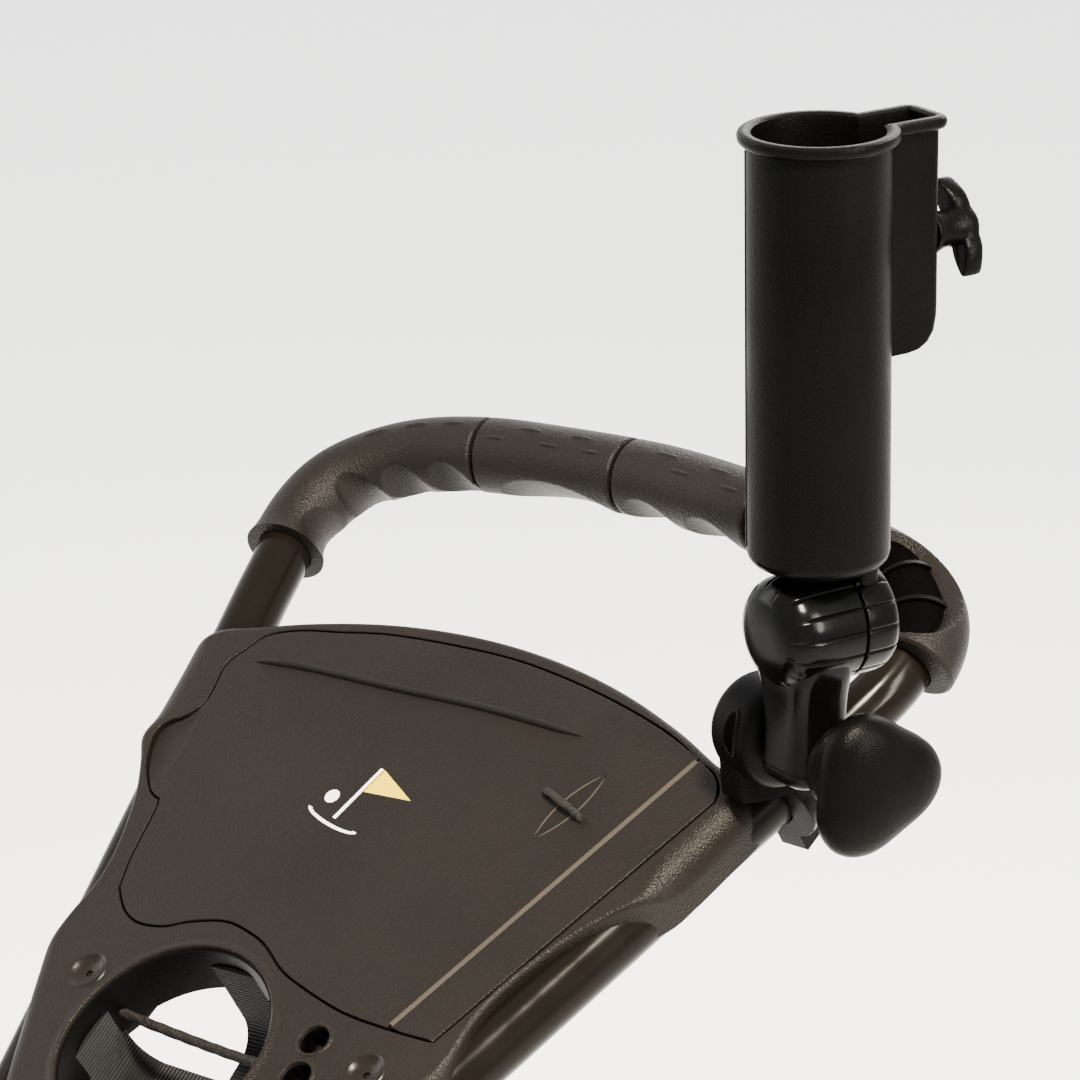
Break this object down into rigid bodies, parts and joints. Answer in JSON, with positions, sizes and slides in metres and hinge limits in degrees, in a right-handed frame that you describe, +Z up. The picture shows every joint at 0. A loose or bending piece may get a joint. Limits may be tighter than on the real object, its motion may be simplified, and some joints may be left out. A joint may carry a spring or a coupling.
{
  "type": "golf push cart",
  "caption": "Three-wheeled folding golf push cart with loop handle, console tray with lid and drinks ring, umbrella holder and bag supports.",
  "frame": {"origin": "middle of the footprint, on the ground", "axes": "+Z up, -Y is the travel direction with the front wheel, the user walks on the +Y side, +X is the user's left"},
  "size_m": [0.6428, 1.0984, 1.1765],
  "materials": {
    "console": "satin injection moulding with a fine leather grain",
    "black_plastic": "satin black moulding",
    "grip": "soft-touch moulding with raised dashes",
    "tubing": "gloss black powder coat",
    "steel": "zinc plated",
    "webbing": "ribbed woven nylon",
    "cord": "braided elastic",
    "rim": "satin dark grey moulding",
    "tyre": "matt foam-filled rubber"
  },
  "bodies": {
    "chassis": {"hinge_base": "black_plastic", "main_tube": "tubing", "upper_cradle": "black_plastic", "upper_bag_strap": "webbing", "upper_strap_buckle": "black_plastic", "lower_cradle": "black_plastic", "lower_bag_strap": "webbing", "lower_strap_buckle": "black_plastic", "bag_shelf": "black_plastic", "leg_bracket": "black_plastic", "stay_bracket": "black_plastic", "leg_left": "tubing", "leg_right": "tubing", "leg_stay_left": "tubing", "leg_stay_right": "tubing", "leg_clip_left": "black_plastic", "leg_clip_right": "black_plastic", "axle_block_left": "black_plastic", "axle_block_right": "black_plastic", "rear_axle_left": "steel", "rear_axle_right": "steel", "brake_pin": "steel", "front_fork": "black_plastic", "front_axle": "steel", "fold_pin": "steel"},
    "upper_frame": {"handle_tube": "tubing", "grip_left_end": "grip", "grip_middle_left": "grip", "grip_middle_right": "grip", "grip_right_end": "grip", "console_tray": "console", "lid_hinge_strip": "console", "storage_box": "black_plastic", "cup_cord": "cord", "cup_strap_inner": "webbing", "cup_strap_outer": "webbing", "tube_saddle_left": "black_plastic", "tube_saddle_right": "black_plastic", "tray_screw_left": "steel", "tray_screw_right": "steel", "umbrella_clamp": "black_plastic", "clamp_screw": "steel", "hinge_head": "black_plastic", "pivot_lug": "black_plastic", "pivot_bolt": "steel"},
    "lid": {"console_lid": "console", "pencil_cord": "cord"},
    "holder_arm": {"umbrella_arm": "black_plastic", "knuckle_pin": "steel"},
    "holder_socket": {"umbrella_socket": "black_plastic"},
    "holder_knob": {"umbrella_knob": "black_plastic"},
    "holder_thumb_screw": {"thumb_screw": "black_plastic"},
    "hinge_knob": {"fold_knob": "black_plastic"},
    "rear_wheel_left": {"rear_rim_left": "rim", "rear_tyre_left": "tyre"},
    "rear_wheel_right": {"rear_rim_right": "rim", "rear_tyre_right": "tyre"},
    "front_wheel": {"front_rim": "rim", "front_tyre": "tyre"},
    "brake": {"brake_pedal": "black_plastic"}
  },
  "joints": [
    {"name": "frame_fold", "type": "hinge", "parent": "chassis", "child": "upper_frame", "pos_m": [0, 0.12183, 0.76265], "axis": [1, 0, 0], "range_deg": [0, 135]},
    {"name": "lid_flap", "type": "hinge", "parent": "upper_frame", "child": "lid", "pos_m": [0.0655, 0.30299, 0.86147], "axis": [0.288, 0.8121, 0.5075], "range_deg": [0, 100]},
    {"name": "holder_tilt", "type": "hinge", "parent": "upper_frame", "child": "holder_arm", "pos_m": [0.168, 0.41328, 0.956], "axis": [0.9613, -0.2756, 0], "range_deg": [-10, 60]},
    {"name": "socket_lean", "type": "hinge", "parent": "holder_arm", "child": "holder_socket", "pos_m": [0.168, 0.41328, 1.003], "axis": [0.2756, 0.9613, 0], "range_deg": [-45, 45]},
    {"name": "knob_turn", "type": "hinge", "parent": "upper_frame", "child": "holder_knob", "pos_m": [0.168, 0.41328, 0.956], "axis": [0.9613, -0.2756, 0], "range_deg": [0, 540]},
    {"name": "thumb_screw_turn", "type": "hinge", "parent": "holder_socket", "child": "holder_thumb_screw", "pos_m": [0.18013, 0.45558, 1.134], "axis": [0.2756, 0.9613, 0], "range_deg": [0, 540]},
    {"name": "fold_knob_turn", "type": "hinge", "parent": "chassis", "child": "hinge_knob", "pos_m": [0, 0.12183, 0.76265], "axis": [1, 0, 0], "range_deg": [0, 540]},
    {"name": "rear_wheel_left_spin", "type": "hinge", "parent": "chassis", "child": "rear_wheel_left", "pos_m": [-0.292, 0.2518, 0.145], "axis": [1, 0, 0], "continuous": true},
    {"name": "rear_wheel_right_spin", "type": "hinge", "parent": "chassis", "child": "rear_wheel_right", "pos_m": [0.292, 0.2518, 0.145], "axis": [1, 0, 0], "continuous": true},
    {"name": "front_wheel_spin", "type": "hinge", "parent": "chassis", "child": "front_wheel", "pos_m": [0, -0.4342, 0.115], "axis": [1, 0, 0], "continuous": true},
    {"name": "brake_pedal_lift", "type": "hinge", "parent": "chassis", "child": "brake", "pos_m": [0.229, 0.28183, 0.147], "axis": [1, 0, 0], "range_deg": [0, 22]}
  ]
}
